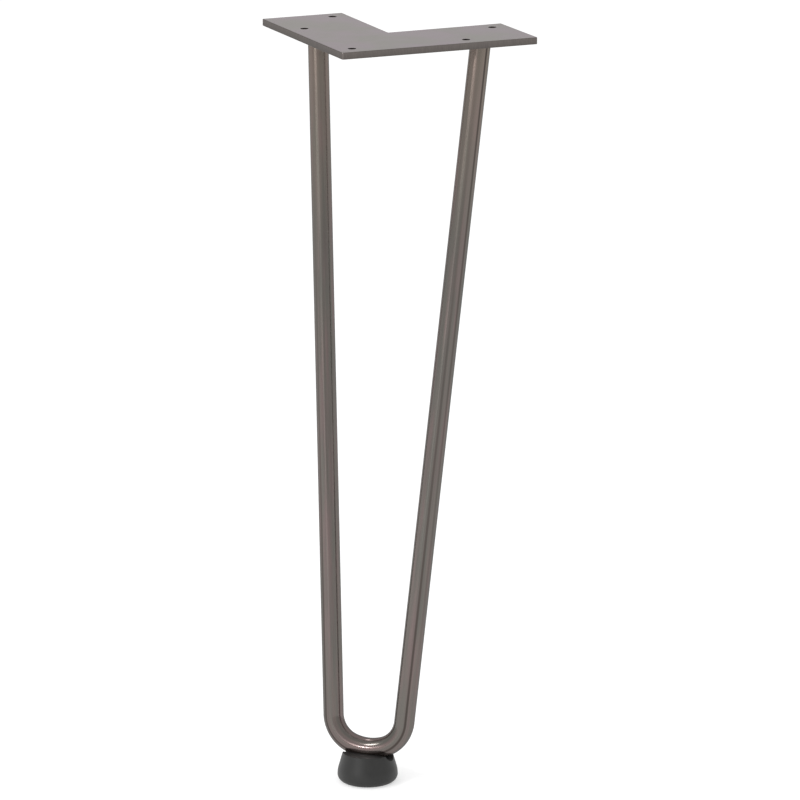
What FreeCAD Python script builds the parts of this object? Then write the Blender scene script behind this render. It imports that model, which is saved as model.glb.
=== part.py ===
import FreeCAD, Part
import math
import os

# Hairpin table leg, lengths in millimetres and angles in degrees.
# The origin is the middle of the foot's underside, on the floor, with +Z up.
# +X runs along the line between the two arms of the rod and +Y along the plate's diagonal, from its
# outer corner towards the middle of the table. The leg is mirror symmetric about the plane X = 0.

# The leg as a whole
LEG_HEIGHT = 438.0            # floor to the face that meets the table top
FOOT_INSET = 33.4             # outer corner of the plate to the foot's axis, along the diagonal

# Mounting plate
ARM_LENGTH = 120.0            # outer corner to the end of each arm
ARM_WIDTH = 50.0
PLATE_THICKNESS = 4.0
OUTER_CORNER_RADIUS = 1.5
ARM_CORNER_RADIUS = 0.8
INNER_CORNER_RADIUS = 0.6
PLATE_EDGE_BREAK = 0.3        # deburred edge of the cut plate

# Screw holes
HOLE_DIAMETER = 4.5
OUTER_EDGE_MARGIN = 10.0      # outer edge of an arm to the middle of the holes beside it
ARM_HOLE_REACH = 80.0         # outer corner to the hole part of the way along an arm
INNER_EDGE_MARGIN = 10.0      # inner edge of an arm to the middle of its end hole
ARM_END_MARGIN = 10.0         # end of an arm to the middle of its end hole

# Bent rod
ROD_DIAMETER = 12.0
ROD_END_MARGIN = 24.0         # end of an arm to the middle of the rod's end, half way across the arm
BEND_BOTTOM_RADIUS = 31.0     # centreline radius of the flatter bottom of the bend
BEND_BOTTOM_HALF_ANGLE = 18.0
BEND_SIDE_RADIUS = 18.5       # centreline radius of the tighter turn at each side of it

# Weld round each end of the rod
WELD_LEG = 3.5
WELD_CROWN = 0.7              # how far the bead stands out from a flat bevel

# Foot
FOOT_HEIGHT = 17.5
FOOT_DIAMETER = 35.4          # at its widest, just above the rounded edge
FOOT_EDGE_RADIUS = 4.0        # rounded edge round the base
FOOT_BULGE_RADIUS = 17.0      # gentle curve from the widest place into the flank
FOOT_DRAFT = 16.0             # slope of the flank, narrower towards the top
FOOT_RIM_BREAK = 0.3          # small bevel round the top
CHANNEL_DEPTH = 3.9           # top of the foot to the bottom of the channel that the rod lies in
ROD_SEAT_CLEARANCE = 0.1      # film of adhesive between the rod and the channel

# Places that follow from the sizes above
PLATE_UNDERSIDE = LEG_HEIGHT - PLATE_THICKNESS
ROD_RADIUS = ROD_DIAMETER / 2
CHANNEL_RADIUS = ROD_RADIUS + ROD_SEAT_CLEARANCE
BEND_BOTTOM = FOOT_HEIGHT - CHANNEL_DEPTH + CHANNEL_RADIUS
SIDES = {"left": -1, "right": 1}

UP = FreeCAD.Vector(0, 0, 1)
ORIGIN = FreeCAD.Vector(0, 0, 0)
PLATE_PLACE = FreeCAD.Placement(FreeCAD.Vector(0, -FOOT_INSET, PLATE_UNDERSIDE), FreeCAD.Rotation(UP, 45))


def plate_point(u, v):
    """A point of the plate's underside, given along its right and left arms from the outer corner."""
    return PLATE_PLACE.multVec(FreeCAD.Vector(u, v, 0))


class Hairpin:
    """The rod's centreline, drawn in the leaning plane of the hairpin.

    A point of that plane is given as (across, along): across is X, and along is measured up the
    lean from the lowest point of the bend.
    """

    def __init__(self):
        end = plate_point(ARM_LENGTH - ROD_END_MARGIN, ARM_WIDTH / 2)
        rise = PLATE_UNDERSIDE - BEND_BOTTOM
        self.lean = math.atan2(end.y, rise)
        self.top = (end.x, math.hypot(rise, end.y))
        turn = math.radians(BEND_BOTTOM_HALF_ANGLE)
        step = BEND_BOTTOM_RADIUS - BEND_SIDE_RADIUS
        self.turn = turn
        self.side_centre = (step * math.sin(turn), BEND_BOTTOM_RADIUS - step * math.cos(turn))
        across = self.top[0] - self.side_centre[0]
        along = self.top[1] - self.side_centre[1]
        swing = math.asin(BEND_SIDE_RADIUS / math.hypot(across, along))
        self.splay = math.atan2(across, along) - swing

    def place(self, across, along):
        """A point of the leaning plane in the leg's own axes."""
        y = along * math.sin(self.lean)
        z = BEND_BOTTOM + along * math.cos(self.lean)
        return FreeCAD.Vector(across, y, z)

    def side_point(self, side, angle):
        """A point of the tighter turn, at an angle from straight down."""
        across = self.side_centre[0] + BEND_SIDE_RADIUS * math.sin(angle)
        along = self.side_centre[1] - BEND_SIDE_RADIUS * math.cos(angle)
        return self.place(side * across, along)

    def axis(self, side):
        """The direction of a straight arm, from the bend up to the plate."""
        foot = self.place(0, 0)
        tip = self.place(side * math.sin(self.splay), math.cos(self.splay))
        return tip - foot

    def end(self, side):
        """The middle of the rod's end, in the plate's underside."""
        return self.place(side * self.top[0], self.top[1])

    def path(self, overrun):
        """The whole centreline, with both arms run on past the plate's underside."""
        last = math.pi / 2 - self.splay
        middle = (self.turn + last) / 2
        left, right = SIDES["left"], SIDES["right"]
        tips = {s: self.end(s) + self.axis(s) * overrun for s in (left, right)}
        bottom = self.place(0, 0)
        edges = [
            Part.LineSegment(tips[left], self.side_point(left, last)).toShape(),
            Part.Arc(self.side_point(left, last), self.side_point(left, middle),
                     self.side_point(left, self.turn)).toShape(),
            Part.Arc(self.side_point(left, self.turn), bottom,
                     self.side_point(right, self.turn)).toShape(),
            Part.Arc(self.side_point(right, self.turn), self.side_point(right, middle),
                     self.side_point(right, last)).toShape(),
            Part.LineSegment(self.side_point(right, last), tips[right]).toShape(),
        ]
        return Part.Wire(edges)


def above_underside():
    """A block that fills the space from the plate's underside upwards."""
    side = 4 * ARM_LENGTH
    corner = FreeCAD.Vector(-side / 2, -side / 2, PLATE_UNDERSIDE)
    return Part.makeBox(side, side, side, corner)


def corner_edges(solid, points):
    """The upright edges of a plate that stand on the given corners."""
    found = []
    for edge in solid.Edges:
        ends = [v.Point for v in edge.Vertexes]
        upright = len(ends) == 2 and abs(ends[0].z - ends[1].z) > PLATE_THICKNESS / 2
        if upright and any(math.hypot(ends[0].x - u, ends[0].y - v) < 0.01 for u, v in points):
            found.append(edge)
    return found


def hole_places():
    """The five holes, in the plate's own axes along its two arms."""
    corner = (OUTER_EDGE_MARGIN, OUTER_EDGE_MARGIN)
    beside = (ARM_HOLE_REACH, OUTER_EDGE_MARGIN)
    end = (ARM_LENGTH - ARM_END_MARGIN, ARM_WIDTH - INNER_EDGE_MARGIN)
    return [corner, beside, beside[::-1], end, end[::-1]]


def mounting_plate():
    """L-shaped plate with square arms, cut from sheet, its outer corner over the table's corner."""
    outer = [(0, 0)]
    arm_ends = [(ARM_LENGTH, 0), (ARM_LENGTH, ARM_WIDTH), (ARM_WIDTH, ARM_LENGTH), (0, ARM_LENGTH)]
    inner = [(ARM_WIDTH, ARM_WIDTH)]
    outline = outer + arm_ends[:2] + inner + arm_ends[2:] + outer
    face = Part.Face(Part.makePolygon([FreeCAD.Vector(u, v, 0) for u, v in outline]))
    plate = face.extrude(UP * PLATE_THICKNESS)
    plate = plate.makeFillet(OUTER_CORNER_RADIUS, corner_edges(plate, outer))
    plate = plate.makeFillet(ARM_CORNER_RADIUS, corner_edges(plate, arm_ends))
    plate = plate.makeFillet(INNER_CORNER_RADIUS, corner_edges(plate, inner))
    rims = [e for e in plate.Edges if abs(e.Vertexes[0].Z - e.Vertexes[-1].Z) < PLATE_THICKNESS / 2]
    plate = plate.makeChamfer(PLATE_EDGE_BREAK, rims)
    for u, v in hole_places():
        start = FreeCAD.Vector(u, v, -PLATE_THICKNESS)
        plate = plate.cut(Part.makeCylinder(HOLE_DIAMETER / 2, 3 * PLATE_THICKNESS, start))
    return plate.transformed(PLATE_PLACE.toMatrix(), True)


def hairpin_rod(hairpin):
    """One round bar, bent to a hairpin, its ends trimmed flush with the plate's underside."""
    path = hairpin.path(2 * ROD_DIAMETER)
    start = path.OrderedVertexes[0].Point
    section = Part.Wire(Part.makeCircle(ROD_RADIUS, start, hairpin.axis(SIDES["left"])))
    bar = path.makePipeShell([section], True, False)
    return bar.cut(above_underside())


def weld_bead(hairpin, side):
    """Fillet weld that fills the corner between the rod's end and the plate's underside.

    Its section is drawn as r out from the rod's axis and depth down from the plate's underside, with
    a crowned face. It is run on upwards at the same slope, so that the leaning rod's bead meets the
    plate all round.
    """
    crown_out = WELD_LEG / 2 + WELD_CROWN / math.sqrt(2)
    run_on = ROD_DIAMETER
    slope = (WELD_LEG - crown_out) / crown_out
    section = [
        (ROD_RADIUS, WELD_LEG),
        (ROD_RADIUS + crown_out, crown_out),
        (ROD_RADIUS + WELD_LEG + run_on * slope, -run_on),
        (ROD_RADIUS, -run_on),
        (ROD_RADIUS, WELD_LEG),
    ]
    profile = Part.makePolygon([FreeCAD.Vector(r, 0, -depth) for r, depth in section])
    ring = Part.Face(profile).revolve(ORIGIN, UP, 360)
    aligned = FreeCAD.Rotation(UP, hairpin.axis(side))
    ring = ring.transformed(FreeCAD.Placement(hairpin.end(side), aligned).toMatrix(), True)
    return ring.cut(above_underside())


def foot():
    """Round moulded foot with a curved flank and a rounded channel across its top.

    Its section is drawn as r out from the axis and z up from the floor. Its rounded edge and the
    bulge of its flank meet at the widest place, where the side stands upright.
    """
    draft = math.radians(FOOT_DRAFT)

    def side(radius, angle):
        """A point of an arc through the widest place, at an angle up from level."""
        r = FOOT_DIAMETER / 2 - radius * (1 - math.cos(angle))
        return FreeCAD.Vector(r, 0, FOOT_EDGE_RADIUS + radius * math.sin(angle))

    base_end, edge_middle, widest = [side(FOOT_EDGE_RADIUS, math.pi / 4 * i) for i in (-2, -1, 0)]
    bulge_middle, flank_start = [side(FOOT_BULGE_RADIUS, draft / 2 * i) for i in (1, 2)]
    bevel_z = FOOT_HEIGHT - FOOT_RIM_BREAK
    bevel_r = flank_start.x - (bevel_z - flank_start.z) * math.tan(draft)
    bevel_start = FreeCAD.Vector(bevel_r, 0, bevel_z)
    bevel_end = FreeCAD.Vector(bevel_r - FOOT_RIM_BREAK, 0, FOOT_HEIGHT)
    axis_top = UP * FOOT_HEIGHT
    profile = Part.Wire([
        Part.LineSegment(ORIGIN, base_end).toShape(),
        Part.Arc(base_end, edge_middle, widest).toShape(),
        Part.Arc(widest, bulge_middle, flank_start).toShape(),
        Part.makePolygon([flank_start, bevel_start, bevel_end, axis_top, ORIGIN]),
    ])
    body = Part.Face(profile).revolve(ORIGIN, UP, 360)
    start = FreeCAD.Vector(-FOOT_DIAMETER, 0, BEND_BOTTOM)
    channel = Part.makeCylinder(CHANNEL_RADIUS, 2 * FOOT_DIAMETER, start, FreeCAD.Vector(1, 0, 0))
    return body.cut(channel)


def export(name, shape):
    """Writes one piece, which has to be a single sound solid."""
    solids = shape.Solids
    assert len(solids) == 1 and solids[0].isValid(), name
    solids[0].exportStep(os.path.join("parts", name + ".step"))
    print(name, "volume", round(solids[0].Volume, 1))


def main():
    os.makedirs("parts", exist_ok=True)
    hairpin = Hairpin()
    export("mounting_plate", mounting_plate())
    export("hairpin_rod", hairpin_rod(hairpin))
    for name, side in SIDES.items():
        export("weld_bead_" + name, weld_bead(hairpin, side))
    export("foot", foot())


main()
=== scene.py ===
import math

import bmesh
import bpy
from mathutils import Matrix, Vector


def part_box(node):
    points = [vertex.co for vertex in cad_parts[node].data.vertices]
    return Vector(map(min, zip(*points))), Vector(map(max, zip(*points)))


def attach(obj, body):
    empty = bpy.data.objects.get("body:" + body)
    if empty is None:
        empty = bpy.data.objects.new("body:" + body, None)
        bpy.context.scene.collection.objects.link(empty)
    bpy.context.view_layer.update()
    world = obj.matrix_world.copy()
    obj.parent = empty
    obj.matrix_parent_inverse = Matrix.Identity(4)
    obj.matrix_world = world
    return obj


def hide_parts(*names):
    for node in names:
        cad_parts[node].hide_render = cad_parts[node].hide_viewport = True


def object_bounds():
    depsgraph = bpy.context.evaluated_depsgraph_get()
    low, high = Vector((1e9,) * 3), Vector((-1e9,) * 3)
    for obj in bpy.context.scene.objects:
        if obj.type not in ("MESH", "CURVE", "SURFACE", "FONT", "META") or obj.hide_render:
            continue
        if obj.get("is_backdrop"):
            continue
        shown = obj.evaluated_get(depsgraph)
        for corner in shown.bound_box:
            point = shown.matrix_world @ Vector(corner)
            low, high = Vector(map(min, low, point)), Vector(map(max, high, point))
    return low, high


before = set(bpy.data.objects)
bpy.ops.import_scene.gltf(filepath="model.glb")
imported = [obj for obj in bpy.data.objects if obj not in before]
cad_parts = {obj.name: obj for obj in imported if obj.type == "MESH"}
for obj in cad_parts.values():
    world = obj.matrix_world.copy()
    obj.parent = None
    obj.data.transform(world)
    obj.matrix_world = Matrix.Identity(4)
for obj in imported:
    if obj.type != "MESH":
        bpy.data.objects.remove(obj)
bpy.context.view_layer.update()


# The mounting plate
# A flat L of 4 mm hot rolled steel sheet, cut by laser and lightly deburred, with five plain holes for
# wood screws. The whole leg is sprayed with clear lacquer once it is welded, so bare grey steel shows.

MM = 0.001
ARM_LENGTH = 120 * MM
ARM_WIDTH = 50 * MM
OUTER_CORNER_RADIUS = 1.5 * MM
ARM_CORNER_RADIUS = 0.8 * MM
INNER_CORNER_RADIUS = 0.6 * MM
PLATE_EDGE_BREAK = 0.3 * MM
HOLE_RADIUS = 2.25 * MM
HOLE_SIDES = 64
HOLE_EDGE_BREAK = 0.12 * MM
HOLE_PLACES = [(10, 10), (80, 10), (10, 80), (110, 40), (40, 110)]  # mm along the two arms from the corner
plate_low, plate_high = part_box("mounting_plate")
plate_thickness = plate_high.z - plate_low.z
plate_corner_y = plate_low.y - OUTER_CORNER_RADIUS * (math.sqrt(2) - 1)  # the corner as if it were sharp
plate_turn = Matrix.Rotation(math.radians(45), 4, "Z")
plate_place = Matrix.Translation((0, plate_corner_y, plate_low.z)) @ plate_turn


def linear(hex_colour):
    """An sRGB hex colour as linear RGBA."""
    values = [int(hex_colour[i:i + 2], 16) / 255 for i in (1, 3, 5)]
    return [v / 12.92 if v <= 0.04045 else ((v + 0.055) / 1.055) ** 2.4 for v in values] + [1.0]


def add_node(tree, kind, settings=None, **links):
    """Adds a node with its settings and links.

    A setting named stops is a colour ramp's list of (place, hex colour), with its two ends first. A link
    is named for its input, or for its number after a _, and takes a value or another node's output.
    """
    node = tree.nodes.new(kind)
    for name, value in (settings or {}).items():
        if name == "stops":
            for i, (place, hex_colour) in enumerate(value):
                stop = node.color_ramp.elements[i] if i < 2 else node.color_ramp.elements.new(place)
                stop.position = place
                stop.color = linear(hex_colour)
        else:
            setattr(node, name, value)
    for name, value in links.items():
        socket = node.inputs[int(name[1:])] if name[0] == "_" else node.inputs[name.replace("_", " ")]
        if isinstance(value, bpy.types.NodeSocket):
            tree.links.new(value, socket)
        else:
            socket.default_value = value
    return node


def new_finish(name):
    """A new material with an empty tree, named for the real finish."""
    material = bpy.data.materials.new(name)
    material.use_nodes = True
    material.node_tree.nodes.clear()
    return material, material.node_tree


def outline_ring(inset):
    """The L's outline, moved into the sheet by inset, as (point, way out of the sheet) pairs in plan."""
    long, wide = ARM_LENGTH, ARM_WIDTH
    corners = [  # corner, its radius, the angle where its arc starts, and how far it turns
        ((0, 0), OUTER_CORNER_RADIUS, 180, 90),
        ((long, 0), ARM_CORNER_RADIUS, 270, 90),
        ((long, wide), ARM_CORNER_RADIUS, 0, 90),
        ((wide, wide), INNER_CORNER_RADIUS, 270, -90),
        ((wide, long), ARM_CORNER_RADIUS, 0, 90),
        ((0, long), ARM_CORNER_RADIUS, 90, 90),
    ]
    steps = 5
    ring = []
    for corner, radius, start, turn in corners:
        bulge = 1 if turn > 0 else -1
        middle = math.radians(start + turn / 2)
        # Out along the corner's diagonal, by 1 along each of its sides
        out = Vector((round(math.cos(middle) * math.sqrt(2)), round(math.sin(middle) * math.sqrt(2))))
        centre = Vector(corner) - bulge * radius * out
        for i in range(steps + 1):
            angle = math.radians(start + turn * i / steps)
            way = Vector((math.cos(angle), math.sin(angle)))
            ring.append((centre + (radius - bulge * inset) * way, bulge * way))
    return ring


def hole_ring(place, inset):
    """A screw hole's rim, moved into the sheet by inset, as (point, way out of the sheet) pairs in plan."""
    centre = Vector(place) * MM
    ring = []
    for i in range(HOLE_SIDES):
        angle = math.tau * i / HOLE_SIDES
        way = Vector((math.cos(angle), math.sin(angle)))
        ring.append((centre + (HOLE_RADIUS + inset) * way, -way))
    return ring


def cut_wall(bm, normals, ring_at, edge_break, finish):
    """The wall of a cut through the sheet, with both its edges rounded off.

    Its faces take the finish of that number, and its normals are added to the list. It returns the
    wall's lowest and highest rings.
    """
    steps = 4
    levels = []
    for i in range(steps + 1):
        angle = math.pi / 2 * i / steps
        levels.append((1 - math.sin(angle), 1 - math.cos(angle), angle - math.pi / 2))
    rise = [(inset, height * edge_break, tilt) for inset, height, tilt in levels]
    fall = [(inset, plate_thickness - height, -tilt) for inset, height, tilt in reversed(rise)]
    rings = []
    for inset, height, tilt in rise + fall:
        verts = []
        for point, way in ring_at(inset * edge_break):
            verts.append(bm.verts.new(plate_place @ Vector((*point, height))))
            normals.append(plate_place.to_3x3() @ Vector((*(math.cos(tilt) * way), math.sin(tilt))))
        rings.append(verts)
    for low, high in zip(rings, rings[1:]):
        for i, vert in enumerate(low):
            face = bm.faces.new((low[i - 1], vert, high[i], high[i - 1]))
            face.material_index = finish
    return rings[0], rings[-1]


def mesh_piece(name, bm, *materials):
    """A smooth shaded object made of a finished bmesh."""
    for face in bm.faces:
        face.smooth = True
    mesh = bpy.data.meshes.new(name)
    bm.to_mesh(mesh)
    bm.free()
    piece = bpy.data.objects.new(name, mesh)
    bpy.context.scene.collection.objects.link(piece)
    for material in materials:
        mesh.materials.append(material)
    return piece


# Hot rolled sheet under clear lacquer: a flat grey metal with soft cloudy patches, a little pinker here
# and greener there, and a fine pebble left by the rolls that the lacquer half fills. The pebble is drawn
# coarser than it is, so that it shows.
sheet_steel, tree = new_finish("hot_rolled_sheet_under_clear_lacquer")
place = add_node(tree, "ShaderNodeTexCoord").outputs["Object"]
clouds = add_node(tree, "ShaderNodeTexNoise", Vector=place, Scale=1 / (11 * MM), Detail=4.0, Roughness=0.6)
tone = add_node(tree, "ShaderNodeValToRGB", {"stops": [(0.3, "#837878"), (0.7, "#8c8282")]},
                Fac=clouds.outputs["Fac"])
patches = add_node(tree, "ShaderNodeTexNoise", Vector=place, Scale=1 / (26 * MM), Detail=2.0)
tint = add_node(tree, "ShaderNodeValToRGB", {"stops": [(0.38, "#928189"), (0.62, "#868278")]},
                Fac=patches.outputs["Fac"])
colour = add_node(tree, "ShaderNodeMix", {"data_type": "RGBA"}, _0=0.6, _6=tone.outputs[0],
                  _7=tint.outputs[0]).outputs[2]
pebble = add_node(tree, "ShaderNodeTexNoise", Vector=place, Scale=1 / (0.7 * MM), Detail=3.0)
dull = add_node(tree, "ShaderNodeMapRange", Value=clouds.outputs["Fac"], To_Min=0.36, To_Max=0.46)
relief = add_node(tree, "ShaderNodeBump", Strength=0.25, Distance=0.03 * MM, Height=pebble.outputs["Fac"])
steel = add_node(tree, "ShaderNodeBsdfPrincipled", Base_Color=colour, Metallic=1.0,
                 Roughness=dull.outputs[0], Normal=relief.outputs["Normal"], Coat_Weight=0.3,
                 Coat_Roughness=0.12)
add_node(tree, "ShaderNodeOutputMaterial", Surface=steel.outputs["BSDF"])

# Laser cut edge under clear lacquer: darker and browner than the sheet, and darker still towards the
# underside, with fine drag lines straight through its thickness, drawn wider than they are, so that they
# show.
cut_edge, tree = new_finish("laser_cut_edge_under_clear_lacquer")
place = add_node(tree, "ShaderNodeTexCoord").outputs["Object"]
upright = add_node(tree, "ShaderNodeVectorMath", {"operation": "MULTIPLY"}, _0=place, _1=(1, 1, 0.12))
lines = add_node(tree, "ShaderNodeTexNoise", Vector=upright.outputs[0], Scale=1 / (0.6 * MM), Detail=3.0)
height = add_node(tree, "ShaderNodeSeparateXYZ", Vector=place).outputs["Z"]
depth = add_node(tree, "ShaderNodeMapRange", Value=height, From_Min=plate_low.z, From_Max=plate_high.z)
shades = [(0.0, "#544f4c"), (0.9, "#706966"), (0.3, "#645e5b")]
tone = add_node(tree, "ShaderNodeValToRGB", {"stops": shades}, Fac=depth.outputs[0])
streak = add_node(tree, "ShaderNodeValToRGB", {"stops": [(0.3, "#5f5a57"), (0.7, "#77706b")]},
                  Fac=lines.outputs["Fac"])
colour = add_node(tree, "ShaderNodeMix", {"data_type": "RGBA"}, _0=0.4, _6=tone.outputs[0],
                  _7=streak.outputs[0]).outputs[2]
relief = add_node(tree, "ShaderNodeBump", Strength=0.3, Distance=0.04 * MM, Height=lines.outputs["Fac"])
steel = add_node(tree, "ShaderNodeBsdfPrincipled", Base_Color=colour, Metallic=1.0, Roughness=0.44,
                 Specular_Tint=linear("#a8a8a8"), Normal=relief.outputs["Normal"], Coat_Weight=0.3,
                 Coat_Roughness=0.12)
add_node(tree, "ShaderNodeOutputMaterial", Surface=steel.outputs["BSDF"])

# Hole wall under clear lacquer: brown-black and rough, a painted shade that stands for the shadow deep
# inside holes this small, so the holes read as dark dots.
hole_wall_painted_shade, tree = new_finish("scorched_hole_wall_under_clear_lacquer")
place = add_node(tree, "ShaderNodeTexCoord").outputs["Object"]
scale = add_node(tree, "ShaderNodeTexNoise", Vector=place, Scale=1 / (0.8 * MM), Detail=3.0)
# Painted shade: these brown-black tones darken the hole wall in place of the shadow inside the hole.
colour = add_node(tree, "ShaderNodeValToRGB", {"stops": [(0.3, "#2b2624"), (0.7, "#423b37")]},
                  Fac=scale.outputs["Fac"])
dull = add_node(tree, "ShaderNodeMapRange", Value=scale.outputs["Fac"], To_Min=0.5, To_Max=0.65)
relief = add_node(tree, "ShaderNodeBump", Strength=0.3, Distance=0.04 * MM, Height=scale.outputs["Fac"])
steel = add_node(tree, "ShaderNodeBsdfPrincipled", Base_Color=colour.outputs[0], Metallic=1.0,
                 Roughness=dull.outputs[0], Specular_Tint=linear("#5a5a5a"),
                 Normal=relief.outputs["Normal"], Coat_Weight=0.1, Coat_Roughness=0.2)
add_node(tree, "ShaderNodeOutputMaterial", Surface=steel.outputs["BSDF"])

finishes = [sheet_steel, cut_edge, hole_wall_painted_shade]
bm = bmesh.new()
wall_normals = []
walls = [cut_wall(bm, wall_normals, outline_ring, PLATE_EDGE_BREAK, finishes.index(cut_edge))]
for place in HOLE_PLACES:
    walls.append(cut_wall(bm, wall_normals, lambda inset: hole_ring(place, inset), HOLE_EDGE_BREAK,
                          finishes.index(hole_wall_painted_shade)))
for rings in zip(*walls):     # all the lowest rings, then all the highest
    edges = [bm.edges.get((ring[i - 1], ring[i])) for ring in rings for i in range(len(ring))]
    bmesh.ops.triangle_fill(bm, use_beauty=True, edges=edges)
bmesh.ops.recalc_face_normals(bm, faces=bm.faces)
plate = mesh_piece("screw_plate", bm, *finishes)
plate.data.normals_split_custom_set_from_vertices(wall_normals)
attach(plate, "root")
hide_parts("mounting_plate")


# The hairpin rod
# One 12 mm drawn round bar, bent cold over a former to a narrow U, with a flatter bottom between two
# tighter turns. It leans back under the plate, and its ends are cut to meet the plate's underside.

ROD_RADIUS = 6 * MM
ROD_SIDES = 120
ROD_END_MARGIN = 24 * MM      # end of an arm of the plate to the middle of the rod's end
BEND_BOTTOM_RADIUS = 31 * MM  # of the centreline in the flatter bottom of the bend
BEND_SIDE_RADIUS = 18.5 * MM  # of the centreline in the tighter turn at each side
BEND_TURN = math.radians(18)  # half the angle of the flatter bottom
BOTTOM_STEPS, SIDE_STEPS, ARM_STEPS = 12, 48, 36
STREAKS = [("broad", 3.2, 45), ("narrow", 1.1, 60), ("hair", 0.35, 40)]  # width and length in mm
HEAT_REACH = 120 * MM         # how far down the straw tint of the welding heat fades out
PAINTED_DARK_REFLECTIONS = [(0, 0, 1), (-35, 1, 0)]  # painted dark reflections: turn round the bar in degrees, how dark at the foot and at the top
PAINTED_REFLECTION_HALF_WIDTH = math.radians(9)
bend_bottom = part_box("hairpin_rod")[0].z + ROD_RADIUS
rod_ends = {
    "right": plate_place @ Vector((ARM_LENGTH - ROD_END_MARGIN, ARM_WIDTH / 2, 0)),
    "left": plate_place @ Vector((ARM_WIDTH / 2, ARM_LENGTH - ROD_END_MARGIN, 0)),
}
rise = plate_low.z - bend_bottom
lean = math.atan2(rod_ends["right"].y, rise)
top_across, top_along = rod_ends["right"].x, math.hypot(rise, rod_ends["right"].y)
side_across = (BEND_BOTTOM_RADIUS - BEND_SIDE_RADIUS) * math.sin(BEND_TURN)
side_along = BEND_BOTTOM_RADIUS - (BEND_BOTTOM_RADIUS - BEND_SIDE_RADIUS) * math.cos(BEND_TURN)
reach = math.hypot(top_across - side_across, top_along - side_along)
splay = math.atan2(top_across - side_across, top_along - side_along) - math.asin(BEND_SIDE_RADIUS / reach)


def leaning(across, along):
    """A point of the hairpin's leaning plane: across it, and up the lean from the bottom of the bend."""
    return Vector((across, along * math.sin(lean), bend_bottom + along * math.cos(lean)))


def half_path(side):
    """The centreline from the bottom of the bend up one arm, past the plate's underside."""
    points = []
    for i in range(1, BOTTOM_STEPS + 1):
        angle = BEND_TURN * i / BOTTOM_STEPS
        points.append((BEND_BOTTOM_RADIUS * math.sin(angle), BEND_BOTTOM_RADIUS * (1 - math.cos(angle))))
    last = math.pi / 2 - splay
    for i in range(1, SIDE_STEPS + 1):
        angle = BEND_TURN + (last - BEND_TURN) * i / SIDE_STEPS
        points.append((side_across + BEND_SIDE_RADIUS * math.sin(angle),
                       side_along - BEND_SIDE_RADIUS * math.cos(angle)))
    start = Vector(points[-1])
    way = Vector((math.sin(splay), math.cos(splay)))
    length = (Vector((top_across, top_along)) - start).length + 2 * ROD_RADIUS
    for i in range(1, ARM_STEPS + 1):
        points.append(start + way * length * i / ARM_STEPS)
    return [leaning(side * across, along) for across, along in points]


def line_object(name, points, closed=False):
    """A bare line of points, for Geometry Nodes to follow."""
    mesh = bpy.data.meshes.new(name)
    edges = [(i, i + 1) for i in range(len(points) - 1)]
    mesh.from_pydata(points, edges + [(len(points) - 1, 0)] * closed, [])
    line = bpy.data.objects.new(name, mesh)
    bpy.context.scene.collection.objects.link(line)
    return line


def new_shape(name, **inputs):
    """A Geometry Nodes tree with its named inputs; returns the tree and its group input."""
    tree = bpy.data.node_groups.new(name, "GeometryNodeTree")
    tree.interface.new_socket(name="Geometry", in_out="INPUT", socket_type="NodeSocketGeometry")
    tree.interface.new_socket(name="Geometry", in_out="OUTPUT", socket_type="NodeSocketGeometry")
    for label, kind in inputs.items():
        tree.interface.new_socket(name=label.replace("_", " "), in_out="INPUT",
                                  socket_type="NodeSocket" + kind)
    return tree, add_node(tree, "NodeGroupInput").outputs


def grown(source, tree, **sizes):
    """Runs a tree on a source object and leaves the result there as a plain mesh."""
    modifier = source.modifiers.new(tree.name, "NODES")
    modifier.node_group = tree
    for socket in tree.interface.items_tree:
        label = socket.name.replace(" ", "_")
        if socket.in_out == "INPUT" and label in sizes:
            modifier[socket.identifier] = sizes[label]
    mesh = bpy.data.meshes.new_from_object(source.evaluated_get(bpy.context.evaluated_depsgraph_get()))
    source.modifiers.remove(modifier)
    source.data = mesh
    return source


# Drawn bar under clear lacquer: brown-grey metal with long faint streaks from the drawing die, pinker
# ones among greener ones, and two thin dark lines painted along it as a dark reflection in its gloss. The
# heat of the welds warms the upper part to straw, and the lacquer gives a sharp gloss where the bend meets
# the lamps. The finest streaks are drawn wider than they are, so that they show.
bar_steel, tree = new_finish("drawn_bar_under_clear_lacquer")
section = add_node(tree, "ShaderNodeAttribute", {"attribute_name": "section"}).outputs["Vector"]
along = add_node(tree, "ShaderNodeAttribute", {"attribute_name": "along"}).outputs["Fac"]
run = add_node(tree, "ShaderNodeCombineXYZ", Z=along).outputs[0]
streaks = {}
for name, width, length in STREAKS:
    shrink = add_node(tree, "ShaderNodeVectorMath", {"operation": "SCALE"}, _0=run, Scale=width / length)
    point = add_node(tree, "ShaderNodeVectorMath", _0=section, _1=shrink.outputs[0])
    noise = add_node(tree, "ShaderNodeTexNoise", Vector=point.outputs[0], Scale=1 / (width * MM),
                     Detail=2.0)
    streaks[name] = noise.outputs["Fac"]
shades = [(0.32, "#62645d"), (0.68, "#7c6867"), (0.5, "#6c6560")]
tone = add_node(tree, "ShaderNodeValToRGB", {"stops": shades}, Fac=streaks["broad"])
shades = [(0.3, "#5e5754"), (0.72, "#756a65"), (0.52, "#6b6460")]
fine = add_node(tree, "ShaderNodeValToRGB", {"stops": shades}, Fac=streaks["narrow"])
colour = add_node(tree, "ShaderNodeMix", {"data_type": "RGBA"}, _0=0.5, _6=tone.outputs[0],
                  _7=fine.outputs[0])
place = add_node(tree, "ShaderNodeTexCoord").outputs["Object"]
height = add_node(tree, "ShaderNodeSeparateXYZ", Vector=place).outputs["Z"]
warmed = add_node(tree, "ShaderNodeMapRange", Value=height, From_Min=plate_low.z - HEAT_REACH,
                  From_Max=plate_low.z, To_Max=0.5)
colour = add_node(tree, "ShaderNodeMix", {"data_type": "RGBA"}, _0=warmed.outputs[0], _6=colour.outputs[2],
                  _7=linear("#887b6e"))
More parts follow.
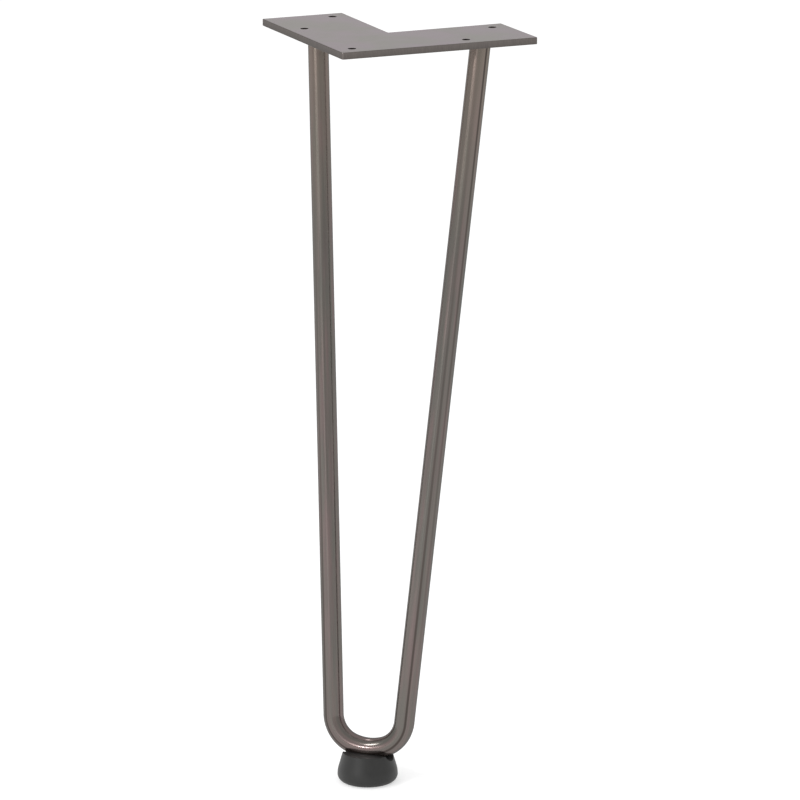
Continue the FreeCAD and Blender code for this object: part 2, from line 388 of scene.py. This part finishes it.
# Painted reflection: each line darkens a thin strip at a fixed turn round the bar, fading along the height,
# in place of a dark reflection in the gloss.
for turn, dark_low, dark_high in PAINTED_DARK_REFLECTIONS:
    facing = (math.cos(math.radians(turn)), math.sin(math.radians(turn)), 0)
    facing = add_node(tree, "ShaderNodeVectorMath", {"operation": "DOT_PRODUCT"}, _0=section, _1=facing)
    line = add_node(tree, "ShaderNodeMapRange", {"interpolation_type": "SMOOTHSTEP"},
                    Value=facing.outputs["Value"], From_Min=ROD_RADIUS * math.cos(PAINTED_REFLECTION_HALF_WIDTH),
                    From_Max=ROD_RADIUS)
    faded = add_node(tree, "ShaderNodeMapRange", Value=height, From_Max=plate_low.z, To_Min=dark_low,
                     To_Max=dark_high)
    share = add_node(tree, "ShaderNodeMath", {"operation": "MULTIPLY"}, _0=line.outputs[0],
                     _1=faded.outputs[0])
    colour = add_node(tree, "ShaderNodeMix", {"data_type": "RGBA"}, _0=share.outputs[0],
                      _6=colour.outputs[2], _7=linear("#3d342f"))
dull = add_node(tree, "ShaderNodeMapRange", Value=streaks["narrow"], From_Min=0.3, From_Max=0.7,
                To_Min=0.18, To_Max=0.26)
relief = add_node(tree, "ShaderNodeBump", Strength=0.06, Distance=0.02 * MM, Height=streaks["hair"])
steel = add_node(tree, "ShaderNodeBsdfPrincipled", Base_Color=colour.outputs[2], Metallic=0.8,
                 Roughness=dull.outputs[0], Specular_Tint=linear("#5a5a5a"),
                 Normal=relief.outputs["Normal"], Coat_Weight=0.5, Coat_Roughness=0.06)
add_node(tree, "ShaderNodeOutputMaterial", Surface=steel.outputs["BSDF"])

# The tree sweeps a round section along the centreline. It keeps each point's place in the section and its
# distance along the bar for the streaks to follow.
tree, given = new_shape("bent_round_bar", Bar_radius="Float", Sides="Int", Finish="Material")
path = add_node(tree, "GeometryNodeMeshToCurve", Mesh=given["Geometry"])
way = add_node(tree, "GeometryNodeSplineParameter").outputs["Length"]
path = add_node(tree, "GeometryNodeStoreNamedAttribute", {"data_type": "FLOAT"},
                Geometry=path.outputs[0], Name="along", Value=way)
circle = add_node(tree, "GeometryNodeCurvePrimitiveCircle", Resolution=given["Sides"],
                  Radius=given["Bar radius"])
spot = add_node(tree, "GeometryNodeInputPosition").outputs[0]
circle = add_node(tree, "GeometryNodeStoreNamedAttribute", {"data_type": "FLOAT_VECTOR"},
                  Geometry=circle.outputs["Curve"], Name="section", Value=spot)
swept = add_node(tree, "GeometryNodeCurveToMesh", Curve=path.outputs[0], Profile_Curve=circle.outputs[0])
swept = add_node(tree, "GeometryNodeRealizeInstances", Geometry=swept.outputs[0])
swept = add_node(tree, "GeometryNodeSetMaterial", Geometry=swept.outputs[0], Material=given["Finish"])
add_node(tree, "NodeGroupOutput", _0=swept.outputs[0])

centreline = half_path(-1)[::-1] + [leaning(0, 0)] + half_path(1)
rod = grown(line_object("bent_rod", centreline), tree, Bar_radius=ROD_RADIUS, Sides=ROD_SIDES,
            Finish=bar_steel)

# Both ends are cut level with the plate's underside and closed, with a sharp edge round each.
bm = bmesh.new()
bm.from_mesh(rod.data)
everything = bm.verts[:] + bm.edges[:] + bm.faces[:]
bmesh.ops.bisect_plane(bm, geom=everything, plane_co=(0, 0, plate_low.z), plane_no=(0, 0, 1),
                       clear_outer=True)
end_edges = [edge for edge in bm.edges if edge.is_boundary]
bmesh.ops.holes_fill(bm, edges=end_edges)
for face in bm.faces:
    face.smooth = True
for edge in end_edges:
    edge.smooth = False
bmesh.ops.recalc_face_normals(bm, faces=bm.faces)
bm.to_mesh(rod.data)
bm.free()
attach(rod, "root")
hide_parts("hairpin_rod")


# The weld beads
# One fillet weld runs round each end of the rod and joins it to the plate. It is left as it was laid,
# a ring of overlapping ripples with a small lump where the welder stopped, and lacquered with the rest.

WELD_LEG = 3.5 * MM
WELD_CROWN = 0.7 * MM         # how far the bead's face stands out from a flat bevel
WELD_ROOT = 0.4 * MM          # how deep the bead's hidden back lies in the rod and the plate
WELD_SIDES = 288
FACE_STEPS = 14
RIPPLES = 30
RIPPLE_HEIGHT = 0.16 * MM
STOP_HEIGHT = 0.3 * MM
STOP_HALF_WIDTH = 0.06        # as a share of the way round the rod, as are the places
STOP_PLACES = {"left": 0.62, "right": 0.3}

# Weld metal under clear lacquer: darker and browner than the bar, with straw and faint blue heat tints in
# soft patches a few millimetres wide.
weld_metal, tree = new_finish("weld_metal_under_clear_lacquer")
place = add_node(tree, "ShaderNodeTexCoord").outputs["Object"]
heat = add_node(tree, "ShaderNodeTexNoise", Vector=place, Scale=1 / (3 * MM), Detail=3.0)
tint = [(0.3, "#4f4b4e"), (0.7, "#7a6b58"), (0.45, "#645c56")]
colour = add_node(tree, "ShaderNodeValToRGB", {"stops": tint}, Fac=heat.outputs["Fac"]).outputs[0]
grain = add_node(tree, "ShaderNodeTexNoise", Vector=place, Scale=1 / (0.5 * MM), Detail=2.0)
dull = add_node(tree, "ShaderNodeMapRange", Value=grain.outputs["Fac"], To_Min=0.3, To_Max=0.5)
relief = add_node(tree, "ShaderNodeBump", Strength=0.3, Distance=0.05 * MM, Height=grain.outputs["Fac"])
steel = add_node(tree, "ShaderNodeBsdfPrincipled", Base_Color=colour, Metallic=1.0,
                 Roughness=dull.outputs[0], Normal=relief.outputs["Normal"], Coat_Weight=0.35,
                 Coat_Roughness=0.08)
add_node(tree, "ShaderNodeOutputMaterial", Surface=steel.outputs["BSDF"])

# The tree turns the bead's section round the rod and raises the ripples on its face: swell is 0 at both
# toes and on the hidden back, and 1 in the middle of the face.
tree, given = new_shape("rippled_weld", Rod_radius="Float", Ripples="Int", Ripple_height="Float",
                        Stop_place="Float", Stop_height="Float", Finish="Material")
ring = add_node(tree, "GeometryNodeCurvePrimitiveCircle", Resolution=WELD_SIDES, Radius=given["Rod radius"])
turn = add_node(tree, "GeometryNodeSplineParameter").outputs["Factor"]
ring = add_node(tree, "GeometryNodeStoreNamedAttribute", {"data_type": "FLOAT"},
                Geometry=ring.outputs["Curve"], Name="around", Value=turn)
bead_section = add_node(tree, "GeometryNodeMeshToCurve", Mesh=given["Geometry"])
bead = add_node(tree, "GeometryNodeCurveToMesh", Curve=ring.outputs[0],
                Profile_Curve=bead_section.outputs[0])
around = add_node(tree, "GeometryNodeInputNamedAttribute", {"data_type": "FLOAT"}, Name="around").outputs[0]
swell = add_node(tree, "GeometryNodeInputNamedAttribute", {"data_type": "FLOAT"}, Name="swell").outputs[0]
turns = add_node(tree, "ShaderNodeMath", {"operation": "MULTIPLY"}, _0=given["Ripples"], _1=math.pi)
phase = add_node(tree, "ShaderNodeMath", {"operation": "MULTIPLY_ADD"}, _0=around, _1=turns.outputs[0],
                 _2=swell)
wave = add_node(tree, "ShaderNodeMath", {"operation": "SINE"}, _0=phase.outputs[0])
wave = add_node(tree, "ShaderNodeMath", {"operation": "ABSOLUTE"}, _0=wave.outputs[0])
away = add_node(tree, "ShaderNodeMath", {"operation": "SUBTRACT"}, _0=around, _1=given["Stop place"])
away = add_node(tree, "ShaderNodeMath", {"operation": "ABSOLUTE"}, _0=away.outputs[0])
lump = add_node(tree, "ShaderNodeMapRange", {"interpolation_type": "SMOOTHSTEP"}, Value=away.outputs[0],
                From_Max=STOP_HALF_WIDTH, To_Min=given["Stop height"], To_Max=0.0)
raised = add_node(tree, "ShaderNodeMath", {"operation": "MULTIPLY_ADD"}, _0=wave.outputs[0],
                  _1=given["Ripple height"], _2=lump.outputs[0])
raised = add_node(tree, "ShaderNodeMath", {"operation": "MULTIPLY"}, _0=raised.outputs[0], _1=swell)
outward = add_node(tree, "GeometryNodeInputNormal").outputs[0]
lift = add_node(tree, "ShaderNodeVectorMath", {"operation": "SCALE"}, _0=outward, Scale=raised.outputs[0])
bead = add_node(tree, "GeometryNodeSetPosition", Geometry=bead.outputs[0], Offset=lift.outputs[0])
bead = add_node(tree, "GeometryNodeRealizeInstances", Geometry=bead.outputs[0])
bead = add_node(tree, "GeometryNodeSetMaterial", Geometry=bead.outputs[0], Material=given["Finish"])
add_node(tree, "NodeGroupOutput", _0=bead.outputs[0])

for side, stop_place in STOP_PLACES.items():
    face_points = []
    for i in range(FACE_STEPS + 1):
        across_face = i / FACE_STEPS
        crown = WELD_CROWN * 4 * across_face * (1 - across_face) / math.sqrt(2)
        face_points.append((WELD_LEG * across_face + crown, WELD_LEG * (1 - across_face) + crown, 0))
    back = [(WELD_LEG - WELD_ROOT, -WELD_ROOT, 0), (-WELD_ROOT, -WELD_ROOT, 0),
            (-WELD_ROOT, WELD_LEG - WELD_ROOT, 0)]
    weld = line_object("weld_ring_" + side, face_points + back, closed=True)
    swell = [math.sin(math.pi * i / FACE_STEPS) for i in range(FACE_STEPS + 1)] + [0.0] * len(back)
    weld.data.attributes.new("swell", "FLOAT", "POINT").data.foreach_set("value", swell)
    weld = grown(weld, tree, Rod_radius=ROD_RADIUS, Ripples=RIPPLES, Ripple_height=RIPPLE_HEIGHT,
                 Stop_place=stop_place, Stop_height=STOP_HEIGHT, Finish=weld_metal)
    end = rod_ends[side]
    arm = leaning(math.copysign(math.sin(splay), end.x), math.cos(splay)) - leaning(0, 0)
    slanted_along_arm = Matrix((
        (1, 0, arm.x / arm.z, end.x),
        (0, 1, arm.y / arm.z, end.y),
        (0, 0, 1, end.z),
        (0, 0, 0, 1),
    ))
    weld.data.transform(slanted_along_arm)
    bm = bmesh.new()
    bm.from_mesh(weld.data)
    for face in bm.faces:
        face.smooth = True
    bmesh.ops.recalc_face_normals(bm, faces=bm.faces)
    bm.to_mesh(weld.data)
    bm.free()
    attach(weld, "root")
    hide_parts("weld_bead_" + side)


# The foot
# A round floor protector moulded in dark grey plastic, wider at its base. The bend lies in a rounded
# channel across its top, where a film of adhesive holds it.

FOOT_EDGE_RADIUS = 4 * MM     # the rounded edge at the floor
FOOT_BULGE_RADIUS = 17 * MM   # the gentle curve from the widest place into the flank
FOOT_DRAFT = math.radians(16)
FOOT_RIM_RADIUS = 0.35 * MM
EDGE_STEPS, BULGE_STEPS, FLANK_STEPS, RIM_STEPS = 16, 8, 4, 5
FOOT_SIDES = 160
ADHESIVE_FILM = 0.1 * MM
CHANNEL_RADIUS = ROD_RADIUS + ADHESIVE_FILM
CHANNEL_SIDES = 96
foot_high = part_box("foot")[1]

# Moulded polypropylene: dark grey with a low satin sheen, and the fine matt texture of its mould, drawn
# coarser than it is, so that it shows.
moulded, tree = new_finish("moulded_polypropylene")
place = add_node(tree, "ShaderNodeTexCoord").outputs["Object"]
flow = add_node(tree, "ShaderNodeTexNoise", Vector=place, Scale=1 / (7 * MM), Detail=2.0)
colour = add_node(tree, "ShaderNodeValToRGB", {"stops": [(0.3, "#232322"), (0.7, "#282827")]},
                  Fac=flow.outputs["Fac"]).outputs[0]
texture = add_node(tree, "ShaderNodeTexNoise", Vector=place, Scale=1 / (0.35 * MM), Detail=2.0)
dull = add_node(tree, "ShaderNodeMapRange", Value=texture.outputs["Fac"], To_Min=0.4, To_Max=0.55)
relief = add_node(tree, "ShaderNodeBump", Strength=0.25, Distance=0.03 * MM, Height=texture.outputs["Fac"])
plastic = add_node(tree, "ShaderNodeBsdfPrincipled", Base_Color=colour, Roughness=dull.outputs[0], IOR=1.49,
                   Normal=relief.outputs["Normal"])
add_node(tree, "ShaderNodeOutputMaterial", Surface=plastic.outputs["BSDF"])


def foot_section():
    """The foot's side from the floor to the top, as (distance from the axis, height)."""
    points = []
    for radius, start, turn, steps in ((FOOT_EDGE_RADIUS, -math.pi / 2, math.pi / 2, EDGE_STEPS),
                                       (FOOT_BULGE_RADIUS, 0, FOOT_DRAFT, BULGE_STEPS)):
        for i in range(steps + 1):
            angle = start + turn * i / steps
            points.append((foot_high.x - radius * (1 - math.cos(angle)),
                           FOOT_EDGE_RADIUS + radius * math.sin(angle)))
        flank_r, flank_z = points.pop()  # what comes next starts at this point too
    rim_z = foot_high.z - FOOT_RIM_RADIUS
    rim_start_z = rim_z + FOOT_RIM_RADIUS * math.sin(FOOT_DRAFT)
    rim_start_r = flank_r - (rim_start_z - flank_z) * math.tan(FOOT_DRAFT)
    rim_r = rim_start_r - FOOT_RIM_RADIUS * math.cos(FOOT_DRAFT)
    for i in range(FLANK_STEPS):
        height = (rim_start_z - flank_z) * i / FLANK_STEPS
        points.append((flank_r - height * math.tan(FOOT_DRAFT), flank_z + height))
    for i in range(RIM_STEPS + 1):
        angle = FOOT_DRAFT + (math.pi / 2 - FOOT_DRAFT) * i / RIM_STEPS
        points.append((rim_r + FOOT_RIM_RADIUS * math.cos(angle),
                       rim_z + FOOT_RIM_RADIUS * math.sin(angle)))
    return points


bm = bmesh.new()
rings = []
for radius, height in foot_section():
    angles = [math.tau * i / FOOT_SIDES for i in range(FOOT_SIDES)]
    rings.append([bm.verts.new((radius * math.cos(a), radius * math.sin(a), height)) for a in angles])
for low, high in zip(rings, rings[1:]):
    for i, vert in enumerate(low):
        bm.faces.new((low[i - 1], vert, high[i], high[i - 1]))
bm.faces.new(rings[0])
bm.faces.new(rings[-1])
bmesh.ops.recalc_face_normals(bm, faces=bm.faces)
foot = mesh_piece("moulded_foot", bm, moulded)

bm = bmesh.new()
across_foot = Matrix.Translation((0, 0, bend_bottom)) @ Matrix.Rotation(math.pi / 2, 4, "Y")
bmesh.ops.create_cone(bm, cap_ends=True, segments=CHANNEL_SIDES, radius1=CHANNEL_RADIUS,
                      radius2=CHANNEL_RADIUS, depth=4 * foot_high.x, matrix=across_foot)
channel = mesh_piece("channel", bm)
cut = foot.modifiers.new("channel", "BOOLEAN")
cut.operation = "DIFFERENCE"
cut.solver = "EXACT"
cut.object = channel
soften = foot.modifiers.new("softened_edges", "BEVEL")
soften.width = 0.25 * MM
soften.segments = 3
soften.limit_method = "ANGLE"
soften.angle_limit = math.radians(40)
soften.harden_normals = True
foot_mesh = bpy.data.meshes.new_from_object(foot.evaluated_get(bpy.context.evaluated_depsgraph_get()))
foot.modifiers.clear()
foot.data = foot_mesh
bpy.data.objects.remove(channel)
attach(foot, "root")
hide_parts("foot")


# The floor, the light and the camera
# A white studio floor, an even pale surround and a few soft lamps, seen through a long lens.

FLOOR_REACH = 14              # metres from the leg to each side of the floor
floor_corners = [(FLOOR_REACH * x, FLOOR_REACH * y, 0) for x, y in ((-1, -1), (1, -1), (1, 1), (-1, 1))]
floor_mesh = bpy.data.meshes.new("floor")
floor_mesh.from_pydata(floor_corners, [], [(0, 1, 2, 3)])
floor = bpy.data.objects.new("floor", floor_mesh)
bpy.context.scene.collection.objects.link(floor)

# White floor paint: it shows plain white behind the leg and in its reflections, and keeps a soft shadow.
floor_paint, tree = new_finish("white_floor_paint")
seen = add_node(tree, "ShaderNodeLightPath")
shown = add_node(tree, "ShaderNodeMath", {"operation": "MAXIMUM"},
                 _0=seen.outputs["Is Camera Ray"], _1=seen.outputs["Is Glossy Ray"])
shown = add_node(tree, "ShaderNodeMath", {"operation": "MAXIMUM"},
                 _0=shown.outputs[0], _1=seen.outputs["Is Transmission Ray"])
glow = add_node(tree, "ShaderNodeMath", {"operation": "MULTIPLY"}, _0=shown.outputs[0], _1=0.5)
paint = add_node(tree, "ShaderNodeBsdfDiffuse", Color=linear("#dcdcdc"))
white = add_node(tree, "ShaderNodeEmission", Color=linear("#ffffff"), Strength=glow.outputs[0])
both = add_node(tree, "ShaderNodeAddShader", _0=paint.outputs[0], _1=white.outputs[0])
add_node(tree, "ShaderNodeOutputMaterial", Surface=both.outputs[0])
floor_mesh.materials.append(floor_paint)
floor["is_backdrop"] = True

world = bpy.data.worlds.new("studio")
bpy.context.scene.world = world
world.use_nodes = True
world.node_tree.nodes["Background"].inputs["Color"].default_value = linear("#ffffff")
world.node_tree.nodes["Background"].inputs["Strength"].default_value = 0.75


def soft_lamp(name, place, aim, width, height, power):
    """A rectangular soft lamp that points at aim."""
    lamp = bpy.data.lights.new(name, "AREA")
    lamp.shape = "RECTANGLE"
    lamp.size = width
    lamp.size_y = height
    lamp.energy = power
    holder = bpy.data.objects.new(name, lamp)
    bpy.context.scene.collection.objects.link(holder)
    holder.location = place
    holder.visible_camera = False
    holder.rotation_euler = (Vector(aim) - Vector(place)).to_track_quat("-Z", "Y").to_euler()


def toward(azimuth, elevation, distance):
    """A place seen from the foot of the leg in a direction, with azimuth measured from +X."""
    a, e = math.radians(azimuth), math.radians(elevation)
    return (distance * math.cos(a) * math.cos(e), distance * math.sin(a) * math.cos(e),
            distance * math.sin(e))


# The key lamp and the low lamp stand to the camera's left and give the bend its two highlights. A faint
# tall panel beside them fills the arms, and a small lamp behind the leg lights its far side.
soft_lamp("key_lamp", toward(-131, 44, 2.4), aim=(0, 0, 0.1), width=0.57, height=0.27, power=10.5)
soft_lamp("low_lamp", toward(-111, 17, 4.0), aim=(0, 0, 0.1), width=0.36, height=0.42, power=16)
soft_lamp("side_panel", toward(-97, 10, 2.5), aim=(0, 0, 0.3), width=0.5, height=0.9, power=0.9)
soft_lamp("back_lamp", toward(137, 56, 2.2), aim=(0, 0, 0.1), width=0.12, height=0.2, power=2.1)

# The camera's place, turn and lens come from a fit to the plate's edges and the rod's arms in the photo.
camera_data = bpy.data.cameras.new("camera")
camera = bpy.data.objects.new("camera", camera_data)
bpy.context.scene.collection.objects.link(camera)
camera_data.lens = 209.67
camera_data.sensor_width = 36
camera_data.clip_end = 100
camera.matrix_world = (
    Matrix.Translation((0.96895, -2.40157, 0.90680))
    @ Matrix.Rotation(math.radians(21.543), 4, "Z")
    @ Matrix.Rotation(math.radians(75.355), 4, "X")
    @ Matrix.Rotation(math.radians(-0.113), 4, "Z")
)
bpy.context.scene.camera = camera
bpy.context.scene.view_settings.view_transform = "Standard"

low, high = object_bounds()
